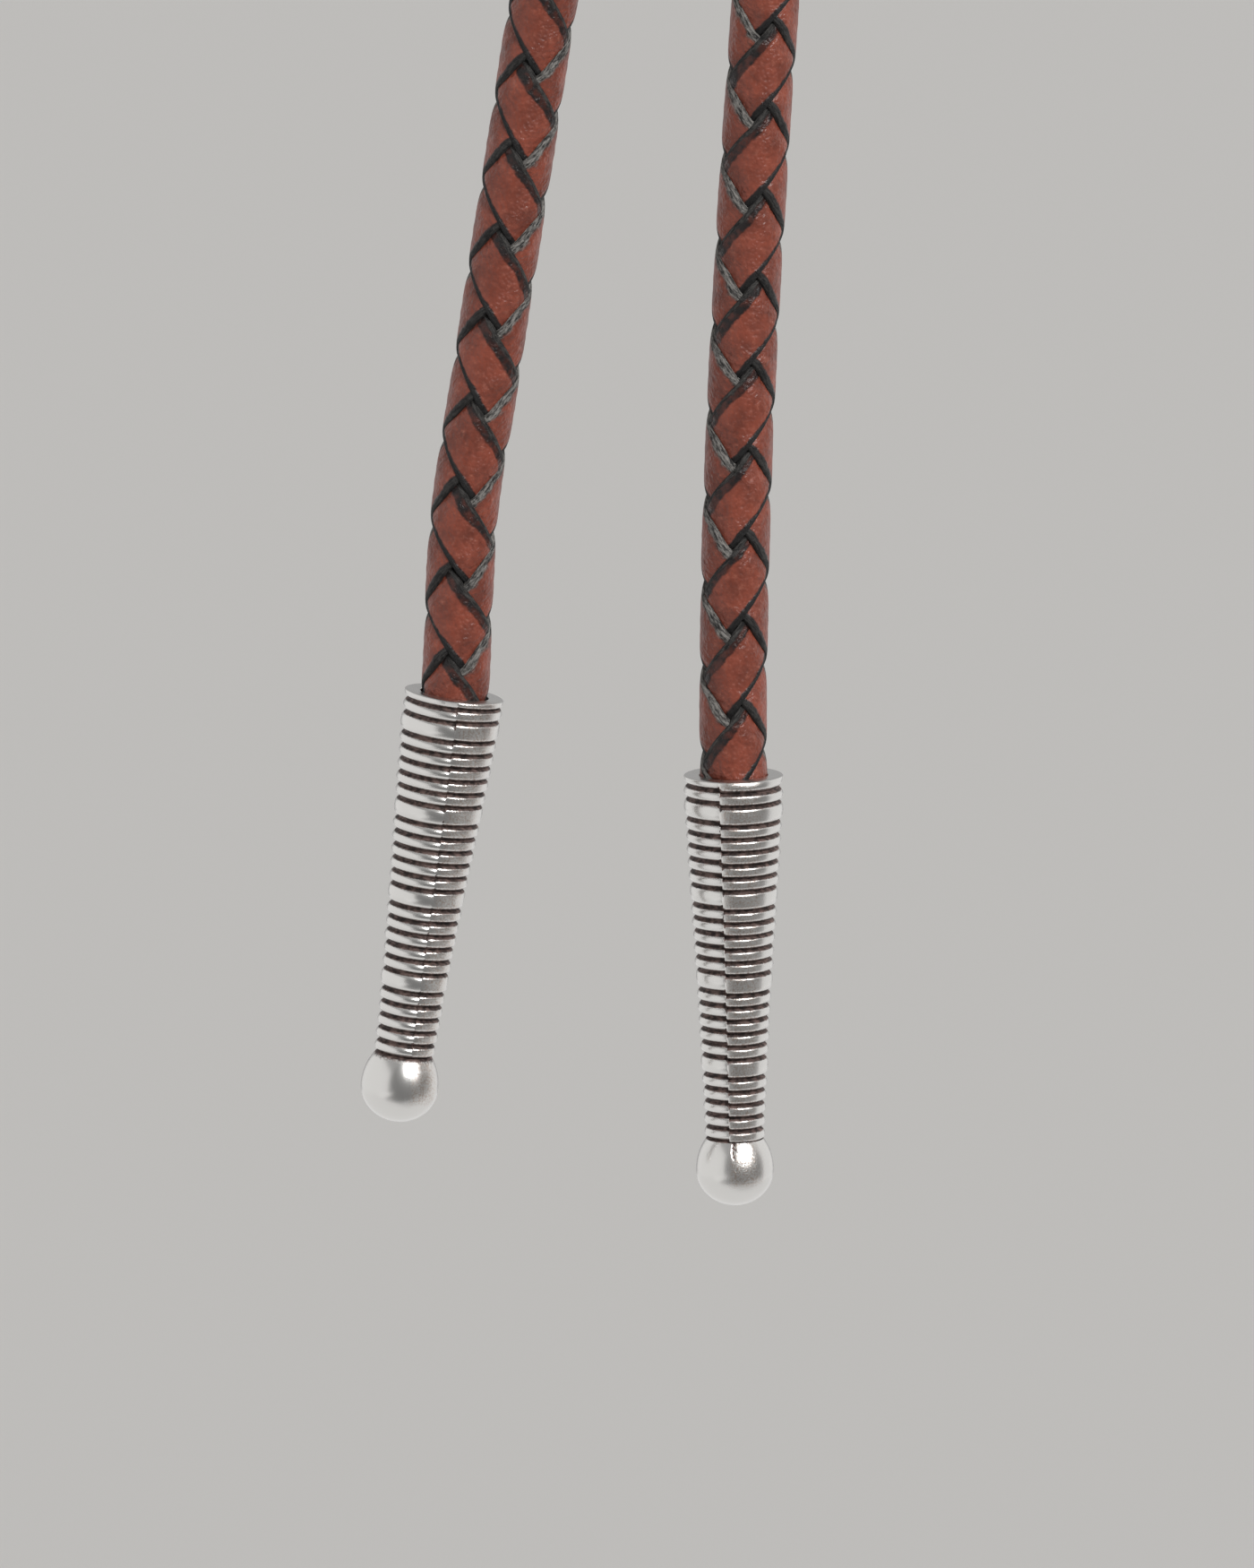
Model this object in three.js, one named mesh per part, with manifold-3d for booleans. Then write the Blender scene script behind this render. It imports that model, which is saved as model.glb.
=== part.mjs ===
// Bolo tie: a braided leather cord worn round the neck, a plain metal slide
// that gathers it on the chest, and a ringed metal tip on each free end.
//
// Millimetres, +Z up. The wearer faces -Y, and left and right are a viewer's
// in front. The origin is where the middle of the cord crosses the nape.

import * as THREE from 'three';
import { mergeVertices } from 'three/addons/utils/BufferGeometryUtils.js';
import Module from 'manifold-3d';

const wasm = await Module();
wasm.setup();

// The cord is a round braid, modelled as its outer tube.
const cordDiameter = 6;
const cordSides = 10;
const cordSteps = 80;
const cordInTip = 6.5;
const chestY = -122; // the plane in which the slide and both free ends hang

// The slide is a rounded plate with one through channel for each run of cord.
const slideWidth = 30;
const slideHeight = 22;
const slideThickness = 9.6;
const slideCorner = 7;
const slideBevel = 0.8;
const slideTop = -278;
const channelSpacing = 18.7;
const channelDiameter = 6.9;
const channelSides = 16;
const straightPastMouth = 1.5; // how far past each mouth the cord stays straight

// Where the centre of each tip's rim hangs, and how far the tip leans from plumb.
const leftTip = { name: 'tip_left', rimX: -19.1, rimZ: -372.8, lean: 8 };
const rightTip = { name: 'tip_right', rimX: 5.8, rimZ: -380.1, lean: -0.3 };

// Below its rim a tip has one narrow ring, then groups of one wide ring and
// several narrow ones, and it ends in a ball that is a little taller than a round one.
const tipSides = 16;
const rimHeight = 0.8;
const narrowHeight = 1.195;
const wideHeight = 1.785;
const groupCount = 4;
const narrowPerGroup = 5;
const grooveDepth = 0.28;
const grooveHeight = 0.4;
const boreDiameter = 6.8;
const boreDepth = 7;
const ballDiameter = 7.02;
const ballHeight = 6.2; // from the last ring to the ball's lowest point
const ballWidestAt = 2.95; // below the last ring
const ballShoulder = 4.25; // height of the ellipse that the upper part follows
const ballSteps = 10;
const tipTaper = [ // the rings' diameter at each depth below the rim
  { depth: 0, diameter: 8.95 },
  { depth: 3, diameter: 8.95 },
  { depth: 11, diameter: 7.9 },
  { depth: 19, diameter: 6.85 },
  { depth: 27, diameter: 5.95 },
  { depth: 33, diameter: 5.43 },
];

// The cord from the nape to just above the slide, on the right.
const neckPoints = [
  [0, 0, 0],
  [34, -7.5, -2],
  [56, -29, -11],
  [63.5, -60, -28],
  [60, -87, -54],
  [50.5, -105, -91],
  [38, -115, -144],
  [23.5, -120, -204],
  [12.2, -121.8, -254],
];

// The free ends, from below the slide to just above each tip.
const leftEndPoints = [
  [-10.96, chestY, -310],
  [-13.5, chestY, -326.2],
  [-16, chestY, -342.5],
  [-18.2, chestY, -357],
];
const rightEndPoints = [
  [8.6, chestY, -310],
  [7.5, chestY, -326.2],
  [6.6, chestY, -342.5],
  [6, chestY, -358.7],
  [5.8, chestY, -369],
];

const leather = new THREE.MeshStandardMaterial({ color: '#7c4336', roughness: 0.55 });
const silver = new THREE.MeshStandardMaterial({ color: '#b9b4ae', roughness: 0.38, metalness: 1 });

function slidePoints(side) {
  const x = side * channelSpacing / 2;
  const top = slideTop + straightPastMouth;
  const bottom = slideTop - slideHeight - straightPastMouth;
  return [[x, chestY, top], [x, chestY, bottom]];
}

function tipPoints(tip) {
  const lean = THREE.MathUtils.degToRad(tip.lean);
  const endX = tip.rimX - cordInTip * Math.sin(lean);
  const endZ = tip.rimZ - cordInTip * Math.cos(lean);
  return [[tip.rimX, chestY, tip.rimZ], [endX, chestY, endZ]];
}

// From the nape to the cord's end inside a tip. side is 1 on the right, -1 on the left.
function halfRoute(side, endPoints, tip) {
  const neck = neckPoints.map(([x, y, z]) => [side * x, y, z]);
  return [...neck, ...slidePoints(side), ...endPoints, ...tipPoints(tip)];
}

function cordRoute() {
  const left = halfRoute(-1, leftEndPoints, leftTip).reverse();
  const right = halfRoute(1, rightEndPoints, rightTip).slice(1);
  const points = [...left, ...right].map((point) => new THREE.Vector3(...point));
  const route = new THREE.CatmullRomCurve3(points, false, 'centripetal');
  route.arcLengthDivisions = 4000;
  return route;
}

function makeCord() {
  const corners = [];
  for (let i = 0; i < cordSides; i += 1) {
    const angle = 2 * Math.PI * i / cordSides;
    const x = cordDiameter / 2 * Math.cos(angle);
    const y = cordDiameter / 2 * Math.sin(angle);
    corners.push(new THREE.Vector2(x, y));
  }
  const section = new THREE.Shape(corners);
  const geometry = new THREE.ExtrudeGeometry(section, {
    steps: cordSteps,
    extrudePath: cordRoute(),
  });
  const cord = new THREE.Mesh(geometry, leather);
  cord.name = 'braided_cord';
  return cord;
}

function plateOutline() {
  const x = slideWidth / 2 - slideBevel;
  const y = slideHeight / 2 - slideBevel;
  const r = slideCorner - slideBevel;
  const outline = new THREE.Shape();
  outline.absarc(x - r, y - r, r, 0, Math.PI / 2);
  outline.absarc(r - x, y - r, r, Math.PI / 2, Math.PI);
  outline.absarc(r - x, r - y, r, Math.PI, 1.5 * Math.PI);
  outline.absarc(x - r, r - y, r, 1.5 * Math.PI, 2 * Math.PI);
  return outline;
}

function toSolid(geometry) {
  geometry.deleteAttribute('normal');
  geometry.deleteAttribute('uv');
  const merged = mergeVertices(geometry, 1e-4);
  const mesh = new wasm.Mesh({
    numProp: 3,
    vertProperties: new Float32Array(merged.attributes.position.array),
    triVerts: new Uint32Array(merged.index.array),
  });
  return new wasm.Manifold(mesh);
}

function toGeometry(solid) {
  const mesh = solid.getMesh();
  const geometry = new THREE.BufferGeometry();
  geometry.setAttribute('position', new THREE.BufferAttribute(mesh.vertProperties, 3));
  geometry.setIndex(new THREE.BufferAttribute(mesh.triVerts, 1));
  geometry.computeVertexNormals();
  return geometry;
}

// The plate lies in X and Z round its own centre, and its thickness runs along Y.
function makeSlide() {
  const plate = new THREE.ExtrudeGeometry(plateOutline(), {
    depth: slideThickness - 2 * slideBevel,
    bevelThickness: slideBevel,
    bevelSize: slideBevel,
    bevelSegments: 2,
    curveSegments: 4,
  });
  plate.center();
  plate.rotateX(Math.PI / 2);
  let solid = toSolid(plate);
  for (const side of [-1, 1]) {
    const radius = channelDiameter / 2;
    const channel = new THREE.CylinderGeometry(radius, radius, 2 * slideHeight, channelSides);
    channel.rotateX(Math.PI / 2);
    channel.translate(side * channelSpacing / 2, 0, 0);
    solid = solid.subtract(toSolid(channel));
  }
  const slide = new THREE.Mesh(toGeometry(solid), silver);
  slide.name = 'slide';
  slide.position.set(0, chestY, slideTop - slideHeight / 2);
  return slide;
}

function ringRadius(depth) {
  const below = tipTaper.findIndex((row) => row.depth >= depth);
  const to = tipTaper[Math.max(below, 1)];
  const from = tipTaper[Math.max(below, 1) - 1];
  const share = (depth - from.depth) / (to.depth - from.depth);
  return THREE.MathUtils.lerp(from.diameter, to.diameter, share) / 2;
}

function ringHeights() {
  const heights = [rimHeight, narrowHeight];
  for (let group = 0; group < groupCount; group += 1) {
    heights.push(wideHeight);
    for (let i = 0; i < narrowPerGroup; i += 1) {
      heights.push(narrowHeight);
    }
  }
  return heights;
}

// Half of a tip's section, as (radius, height) from the bottom of its bore,
// over the rim, down its rings and round the ball to the axis.
function tipProfile() {
  const profile = [
    new THREE.Vector2(0, -boreDepth),
    new THREE.Vector2(boreDiameter / 2, -boreDepth),
    new THREE.Vector2(boreDiameter / 2, 0),
  ];
  let depth = 0;
  for (const height of ringHeights()) {
    const crestEnd = depth + height - grooveHeight;
    const grooveAt = crestEnd + grooveHeight / 2;
    profile.push(new THREE.Vector2(ringRadius(depth), -depth));
    profile.push(new THREE.Vector2(ringRadius(crestEnd), -crestEnd));
    profile.push(new THREE.Vector2(ringRadius(grooveAt) - grooveDepth, -grooveAt));
    depth += height;
  }
  profile.pop();
  const neckAngle = -Math.asin(ballWidestAt / ballShoulder);
  for (let i = 0; i <= ballSteps; i += 1) {
    const angle = THREE.MathUtils.lerp(neckAngle, Math.PI / 2, i / ballSteps);
    const reach = angle < 0 ? ballShoulder : ballHeight - ballWidestAt;
    const radius = i < ballSteps ? ballDiameter / 2 * Math.cos(angle) : 0;
    const below = depth + ballWidestAt + reach * Math.sin(angle);
    profile.push(new THREE.Vector2(radius, -below));
  }
  return profile.reverse();
}

function makeTip(tip) {
  const geometry = new THREE.LatheGeometry(tipProfile(), tipSides);
  geometry.rotateX(Math.PI / 2);
  const mesh = new THREE.Mesh(geometry, silver);
  mesh.name = tip.name;
  mesh.position.set(tip.rimX, chestY, tip.rimZ);
  mesh.rotation.y = THREE.MathUtils.degToRad(tip.lean);
  return mesh;
}

const group = new THREE.Group();
group.add(makeCord(), makeSlide(), makeTip(leftTip), makeTip(rightTip));

export default group;
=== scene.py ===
import math
from functools import partial

import bmesh
import bpy
import numpy as np
from mathutils import Matrix, Vector


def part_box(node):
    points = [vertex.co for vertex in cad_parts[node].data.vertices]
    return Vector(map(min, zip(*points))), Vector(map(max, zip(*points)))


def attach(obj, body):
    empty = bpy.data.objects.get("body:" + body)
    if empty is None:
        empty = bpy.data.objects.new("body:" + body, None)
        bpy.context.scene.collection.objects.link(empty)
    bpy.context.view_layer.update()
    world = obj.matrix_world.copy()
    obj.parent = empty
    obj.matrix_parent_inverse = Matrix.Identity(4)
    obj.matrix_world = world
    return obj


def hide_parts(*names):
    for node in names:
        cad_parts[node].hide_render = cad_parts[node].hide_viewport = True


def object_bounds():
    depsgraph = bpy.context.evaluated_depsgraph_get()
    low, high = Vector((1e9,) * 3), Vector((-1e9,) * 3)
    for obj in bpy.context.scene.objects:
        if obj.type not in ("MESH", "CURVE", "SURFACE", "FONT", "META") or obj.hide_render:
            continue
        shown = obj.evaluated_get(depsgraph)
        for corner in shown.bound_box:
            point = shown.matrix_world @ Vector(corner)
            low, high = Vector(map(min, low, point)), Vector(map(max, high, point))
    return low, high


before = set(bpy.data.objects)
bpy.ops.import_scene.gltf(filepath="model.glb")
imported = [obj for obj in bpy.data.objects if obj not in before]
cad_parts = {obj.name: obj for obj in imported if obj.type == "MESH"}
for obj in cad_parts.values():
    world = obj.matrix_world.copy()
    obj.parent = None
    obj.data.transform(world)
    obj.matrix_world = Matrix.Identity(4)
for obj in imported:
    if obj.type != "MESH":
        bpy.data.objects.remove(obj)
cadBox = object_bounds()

mm = 0.001  # the frame is in metres


def linear(hexColour):
    parts = [int(hexColour[i:i + 2], 16) / 255 for i in (1, 3, 5)]
    return [c / 12.92 if c < 0.04045 else ((c + 0.055) / 1.055) ** 2.4 for c in parts] + [1.0]


mathNode = "ShaderNodeMath"
vectorNode = "ShaderNodeVectorMath"
noiseNode = "ShaderNodeTexNoise"
rangeNode = "ShaderNodeMapRange"
mixNode = "ShaderNodeMix"
bumpNode = "ShaderNodeBump"


def addNode(tree, kind, links=None, **settings):
    # links holds each input's plain value, socket, or node, whose first output in use is taken
    node = tree.nodes.new(kind)
    for key, value in settings.items():
        setattr(node, key, value)
    for key, source in (links or {}).items():
        if isinstance(source, bpy.types.Node):
            source = next(output for output in source.outputs if output.enabled)
        if isinstance(source, bpy.types.NodeSocket):
            tree.links.new(source, node.inputs[key])
        else:
            node.inputs[key].default_value = source
    return node


def newObject(name, mesh):
    piece = bpy.data.objects.new(name, mesh)
    bpy.context.collection.objects.link(piece)
    return piece


# Camera: in front of the free ends, a little above them and a long way off. Lengths in mm.
photoView = {"centre": (-3.7, -122, -381), "away": 1100, "elevation": 10, "height": 140}


def makeCamera(view):
    centre = Vector(view["centre"]) * mm
    tilt = math.radians(view["elevation"])
    camera = bpy.data.cameras.new("camera")
    camera.sensor_fit = "VERTICAL"
    camera.angle = 2 * math.atan(view["height"] / 2 / view["away"])
    camera.clip_start, camera.clip_end = 0.05, 40
    holder = newObject("camera", camera)
    holder.location = centre + Vector((0, -math.cos(tilt), math.sin(tilt))) * view["away"] * mm
    holder.rotation_euler = (math.pi / 2 - tilt, 0, 0)
    bpy.context.scene.camera = holder


makeCamera(photoView)
print("camera placed")


# Cord: its route, as the CAD cord has it, from the nape down each side.
chestY = -0.122
slideMouths = {"x": 9.35 * mm, "top": -276.5 * mm, "bottom": -301.5 * mm}
neckPoints = [
    (0, 0, 0), (0.034, -0.0075, -0.002), (0.056, -0.029, -0.011), (0.0635, -0.060, -0.028),
    (0.060, -0.087, -0.054), (0.0505, -0.105, -0.091), (0.038, -0.115, -0.144),
    (0.0235, -0.120, -0.204), (0.0122, -0.1218, -0.254),
]
leftEndPoints = [
    (-0.01096, chestY, -0.310), (-0.0135, chestY, -0.3262),
    (-0.016, chestY, -0.3425), (-0.0182, chestY, -0.357),
]
rightEndPoints = [
    (0.0086, chestY, -0.310), (0.0075, chestY, -0.3262), (0.0066, chestY, -0.3425),
    (0.006, chestY, -0.3587), (0.0058, chestY, -0.369),
]
leftTip = {"rim": (-0.0191, chestY, -0.3728), "lean": 8}
rightTip = {"rim": (0.0058, chestY, -0.3801), "lean": -0.3}
cordInTip = 6.5 * mm


def sidePoints(side, endPoints, tip):
    lean = math.radians(tip["lean"])
    rim = Vector(tip["rim"])
    end = rim - cordInTip * Vector((math.sin(lean), 0, math.cos(lean)))
    neck = [(side * x, y, z) for x, y, z in neckPoints[1:]]
    slide = [(side * slideMouths["x"], chestY, slideMouths[mouth]) for mouth in ("top", "bottom")]
    return [Vector(point) for point in [*neck, *slide, *endPoints, rim, end]]


def smoothLine(points, step):
    # centripetal Catmull-Rom through the points, then respaced evenly
    before, after = 2 * points[0] - points[1], 2 * points[-1] - points[-2]
    padded = [before, *points, after]
    samples = 60  # between one point and the next
    line = []
    for p0, p1, p2, p3 in zip(padded, padded[1:], padded[2:], padded[3:]):
        d0, d1, d2 = ((b - a).length ** 0.5 for a, b in ((p0, p1), (p1, p2), (p2, p3)))
        m1 = ((p1 - p0) / d0 - (p2 - p0) / (d0 + d1) + (p2 - p1) / d1) * d1
        m2 = ((p2 - p1) / d1 - (p3 - p1) / (d1 + d2) + (p3 - p2) / d2) * d1
        for i in range(samples):
            t = i / samples
            line.append(p1 * (2 * t**3 - 3 * t**2 + 1) + m1 * (t**3 - 2 * t**2 + t)
                        + p2 * (3 * t**2 - 2 * t**3) + m2 * (t**3 - t**2))
    line = np.array([*line, points[-1]])
    run = np.concatenate([[0], np.cumsum(np.linalg.norm(np.diff(line, axis=0), axis=1))])
    marks = np.linspace(0, run[-1], round(run[-1] / step) + 1)
    return np.stack([np.interp(marks, run, line[:, axis]) for axis in range(3)], axis=1)


routeStep = 1 * mm
leftSide = sidePoints(-1, leftEndPoints, leftTip)
rightSide = sidePoints(1, rightEndPoints, rightTip)
wholeCord = smoothLine([*leftSide[::-1], Vector(neckPoints[0]), *rightSide], routeStep)
joinHeight = -0.294  # inside the slide, where the loop's mesh ends and each free end's begins
below = wholeCord[:, 2] < joinHeight
leftEnd = wholeCord[below & (wholeCord[:, 0] < 0)][::-1]
rightEnd = wholeCord[below & (wholeCord[:, 0] > 0)]
neckLoop = wholeCord[~below]


# Braid of four flat laces: two turn one way and pass over the rest at the front
# and back, two turn the other way and pass over at the sides. All sizes in metres.
braid = {
    "Pitch": 15.3 * mm,
    "Over Radius": 2.42 * mm,
    "Under Radius": 1.54 * mm,
    "Squareness": 0.05,  # how long a lace stays out before it dives under the next
    "Lace Width": 4.45 * mm,
    "Lace Thickness": 1.22 * mm,
    "Crown": 180.0,  # how much a lace bends across its width, as 1 over a radius
    "Crown Change": 80.0,
    "Width Wander": 0.05,
    "Path Wander": 0.05 * mm,
}
# Painted Light Hand: the hand of lace whose edges get the leather's painted highlight, meant for the laces
# that pass over at the sides
braidPieces = {
    "neck_cord": {"Sides": 20, "Steps per Pitch": 24, "Turn": 0.0, "Shift": 0.0,
                  "Painted Light Hand": -1.0, "Seed": 3.0},
    "cord_end_left": {"Sides": 44, "Steps per Pitch": 72, "Turn": 0.0, "Shift": 0.3 * mm,
                      "Painted Light Hand": 1.0, "Seed": 11.0},
    "cord_end_right": {"Sides": 44, "Steps per Pitch": 72, "Turn": math.pi / 2, "Shift": 0.8 * mm,
                       "Painted Light Hand": -1.0, "Seed": 17.0},
}


def makeBraidTree():
    tree = bpy.data.node_groups.new("braidAlongRoute", "GeometryNodeTree")
    sockets = tree.interface
    sockets.new_socket("Route", in_out="INPUT", socket_type="NodeSocketGeometry")
    for name in [*braid, "Turn", "Shift", "Painted Light Hand", "Seed"]:
        sockets.new_socket(name, in_out="INPUT", socket_type="NodeSocketFloat")
    for name in ("Sides", "Steps per Pitch"):
        sockets.new_socket(name, in_out="INPUT", socket_type="NodeSocketInt")
    sockets.new_socket("Material", in_out="INPUT", socket_type="NodeSocketMaterial")
    sockets.new_socket("Braid", in_out="OUTPUT", socket_type="NodeSocketGeometry")
    add = partial(addNode, tree)
    size = add("NodeGroupInput").outputs

    route = add("GeometryNodeMeshToCurve", {0: size["Route"]})
    length = add("GeometryNodeCurveLength", {0: route})

    # four flat sheets, one for each lace, that the rest of the tree rolls up
    pitches = add(mathNode, {0: length, 1: size["Pitch"]}, operation="DIVIDE")
    steps = add(mathNode, {0: pitches, 1: size["Steps per Pitch"]}, operation="MULTIPLY")
    columns = add(mathNode, {0: size["Sides"], 1: 1.0}, operation="ADD")
    sheet = add("GeometryNodeMeshGrid", {"Vertices X": columns, "Vertices Y": steps})
    starts = add("GeometryNodePoints", {"Count": 4})
    numbered = add("GeometryNodeStoreNamedAttribute",
                   {"Geometry": starts, "Name": "lace", "Value": add("GeometryNodeInputIndex")})
    copies = add("GeometryNodeInstanceOnPoints", {"Points": numbered, "Instance": sheet})
    sheets = add("GeometryNodeRealizeInstances", {0: copies})
    lace = add("GeometryNodeInputNamedAttribute", {"Name": "lace"}).outputs["Attribute"]
    spot = add("ShaderNodeSeparateXYZ", {0: add("GeometryNodeInputPosition")})
    roundAngle = add(mathNode, {0: spot.outputs[0], 1: -2 * math.pi}, operation="MULTIPLY")
    share = add(mathNode, {0: spot.outputs[1], 1: 0.5}, operation="ADD")
    along = add(mathNode, {0: share, 1: length}, operation="MULTIPLY")

    # which way the lace turns, and how far round it is
    pair = add(mathNode, {0: lace, 1: 0.5}, operation="MULTIPLY")
    second = add(mathNode, {0: pair}, operation="FLOOR")
    hand = add(mathNode, {0: second, 1: -2.0, 2: 1.0}, operation="MULTIPLY_ADD")
    shifted = add(mathNode, {0: along, 1: size["Shift"]}, operation="ADD")
    perLength = add(mathNode, {0: 2 * math.pi, 1: size["Pitch"]}, operation="DIVIDE")
    rate = add(mathNode, {0: perLength, 1: hand}, operation="MULTIPLY")
    offset = add(mathNode, {0: lace, 1: math.pi}, operation="MULTIPLY")
    angle = add(mathNode, {0: shifted, 1: rate, 2: offset}, operation="MULTIPLY_ADD")
    tripled = add(mathNode, {0: angle, 1: 3.0}, operation="MULTIPLY")
    plainSine = add(mathNode, {0: angle}, operation="SINE")
    plainCosine = add(mathNode, {0: angle}, operation="COSINE")
    fastSine = add(mathNode, {0: tripled}, operation="SINE")
    fastCosine = add(mathNode, {0: tripled}, operation="COSINE")
    lessSquare = add(mathNode, {0: size["Squareness"], 1: -1.0}, operation="MULTIPLY")
    steeper = add(mathNode, {0: size["Squareness"], 1: 3.0}, operation="MULTIPLY")
    lessSteep = add(mathNode, {0: size["Squareness"], 1: -3.0}, operation="MULTIPLY")
    sine = add(mathNode, {0: fastSine, 1: size["Squareness"], 2: plainSine}, operation="MULTIPLY_ADD")
    cosine = add(mathNode, {0: fastCosine, 1: lessSquare, 2: plainCosine}, operation="MULTIPLY_ADD")
    sineSlope = add(mathNode, {0: fastCosine, 1: steeper, 2: plainCosine}, operation="MULTIPLY_ADD")
    cosineSlope = add(mathNode, {0: fastSine, 1: lessSteep, 2: plainSine}, operation="MULTIPLY_ADD")
    squared = add(mathNode, {0: plainCosine, 1: plainCosine}, operation="MULTIPLY")
    doubled = add(mathNode, {0: squared, 1: 2.0, 2: -1.0}, operation="MULTIPLY_ADD")
    rise = add(mathNode, {0: doubled, 1: hand}, operation="MULTIPLY")  # 1 over, -1 under

    # the lace's middle line goes round an ellipse, long where the lace passes over
    peak = add(mathNode, {0: 1.0, 1: size["Squareness"]}, operation="SUBTRACT")
    overReach = add(mathNode, {0: size["Over Radius"], 1: peak}, operation="DIVIDE")
    underReach = add(mathNode, {0: size["Under Radius"], 1: peak}, operation="DIVIDE")
    total = add(mathNode, {0: overReach, 1: underReach}, operation="ADD")
    middle = add(mathNode, {0: total, 1: 0.5}, operation="MULTIPLY")
    apart = add(mathNode, {0: overReach, 1: underReach}, operation="SUBTRACT")
    half = add(mathNode, {0: apart, 1: 0.5}, operation="MULTIPLY")
    signedHalf = add(mathNode, {0: half, 1: hand}, operation="MULTIPLY")
    acrossReach = add(mathNode, {0: middle, 1: signedHalf}, operation="SUBTRACT")
    frontReach = add(mathNode, {0: middle, 1: signedHalf}, operation="ADD")
    frontBack = add(mathNode, {0: frontReach, 1: -1.0}, operation="MULTIPLY")
    lineX = add(mathNode, {0: acrossReach, 1: sine}, operation="MULTIPLY")
    lineY = add(mathNode, {0: frontBack, 1: cosine}, operation="MULTIPLY")
    line = add("ShaderNodeCombineXYZ", {0: lineX, 1: lineY, 2: along})
    flat = add("ShaderNodeCombineXYZ", {0: lineX, 1: lineY})
    slopeX = add(mathNode, {0: acrossReach, 1: sineSlope}, operation="MULTIPLY")
    slopeY = add(mathNode, {0: frontReach, 1: cosineSlope}, operation="MULTIPLY")
    turning = add("ShaderNodeCombineXYZ", {0: slopeX, 1: slopeY})
    slope = add(vectorNode, {0: turning, "Scale": rate}, operation="SCALE")
    heading = add(vectorNode, {0: slope, 1: (0, 0, 1)}, operation="ADD")
    forward = add(vectorNode, {0: heading}, operation="NORMALIZE")
    outward = add(vectorNode, {0: flat}, operation="NORMALIZE")
    crossed = add(vectorNode, {0: forward, 1: outward}, operation="CROSS_PRODUCT")
    sideways = add(vectorNode, {0: crossed}, operation="NORMALIZE")
    upward = add(vectorNode, {0: sideways, 1: forward}, operation="CROSS_PRODUCT")

    # the lace's section: a flat strip with rounded corners, closed to a point at both ends
    wanderX = add(mathNode, {0: along, 1: 1 / (9 * mm)}, operation="MULTIPLY")
    wanderY = add(mathNode, {0: lace, 1: 7.3, 2: size["Seed"]}, operation="MULTIPLY_ADD")
    wanderAt = add("ShaderNodeCombineXYZ", {0: wanderX, 1: wanderY})
    wander = add("ShaderNodeTexNoise", {"Vector": wanderAt, "Scale": 1.0, "Detail": 1.0})
    centred = add(vectorNode, {0: wander.outputs["Color"], 1: (0.5, 0.5, 0.5)}, operation="SUBTRACT")
    wandering = add("ShaderNodeSeparateXYZ", {0: centred})
    reach = add(mathNode, {0: size["Width Wander"], 1: 4.0}, operation="MULTIPLY")
    widening = add(mathNode, {0: wandering.outputs[0], 1: reach, 2: 1.0}, operation="MULTIPLY_ADD")
    halfWidth = add(mathNode, {0: size["Lace Width"], 1: 0.5}, operation="MULTIPLY")
    width = add(mathNode, {0: halfWidth, 1: widening}, operation="MULTIPLY")
    depth = add(mathNode, {0: size["Lace Thickness"], 1: 0.5}, operation="MULTIPLY")
    fromMiddle = add(mathNode, {0: spot.outputs[1]}, operation="ABSOLUTE")
    opened = add(mathNode, {0: fromMiddle, 1: 0.49999}, operation="LESS_THAN")
    section = {}
    for name, wave, reachSocket, roundness in (
        ("across", "COSINE", width, 0.46), ("height", "SINE", depth, 0.42),
    ):
        turn = add(mathNode, {0: roundAngle}, operation=wave)
        sign = add(mathNode, {0: turn}, operation="SIGN")
        amount = add(mathNode, {0: turn}, operation="ABSOLUTE")
        eased = add(mathNode, {0: amount, 1: roundness}, operation="POWER")
        signed = add(mathNode, {0: eased, 1: sign}, operation="MULTIPLY")
        scaled = add(mathNode, {0: signed, 1: reachSocket}, operation="MULTIPLY")
        section[name] = signed
        section[name + "Size"] = add(mathNode, {0: scaled, 1: opened}, operation="MULTIPLY")

    # the section bends round what it lies on
    bend = add(mathNode, {0: rise, 1: size["Crown Change"], 2: size["Crown"]}, operation="MULTIPLY_ADD")
    bendRadius = add(mathNode, {0: 1.0, 1: bend}, operation="DIVIDE")
    bendAngle = add(mathNode, {0: section["acrossSize"], 1: bend}, operation="MULTIPLY")
    bendReach = add(mathNode, {0: section["heightSize"], 1: bendRadius}, operation="ADD")
    bendSine = add(mathNode, {0: bendAngle}, operation="SINE")
    bendCosine = add(mathNode, {0: bendAngle}, operation="COSINE")
    moveAcross = add(mathNode, {0: bendReach, 1: bendSine}, operation="MULTIPLY")
    raised = add(mathNode, {0: bendReach, 1: bendCosine}, operation="MULTIPLY")
    lowered = add(mathNode, {0: raised, 1: bendRadius}, operation="SUBTRACT")
    drift = add(mathNode, {0: size["Path Wander"], 1: 4.0}, operation="MULTIPLY")
    moveUp = add(mathNode, {0: wandering.outputs[1], 1: drift, 2: lowered}, operation="MULTIPLY_ADD")
    partX = add(vectorNode, {0: sideways, "Scale": moveAcross}, operation="SCALE")
    partY = add(vectorNode, {0: upward, "Scale": moveUp}, operation="SCALE")
    both = add(vectorNode, {0: partX, 1: partY}, operation="ADD")
    straight = add(vectorNode, {0: line, 1: both}, operation="ADD")
    turned = add("ShaderNodeVectorRotate", {"Vector": straight, "Angle": size["Turn"]},
                 rotation_type="Z_AXIS")

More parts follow.
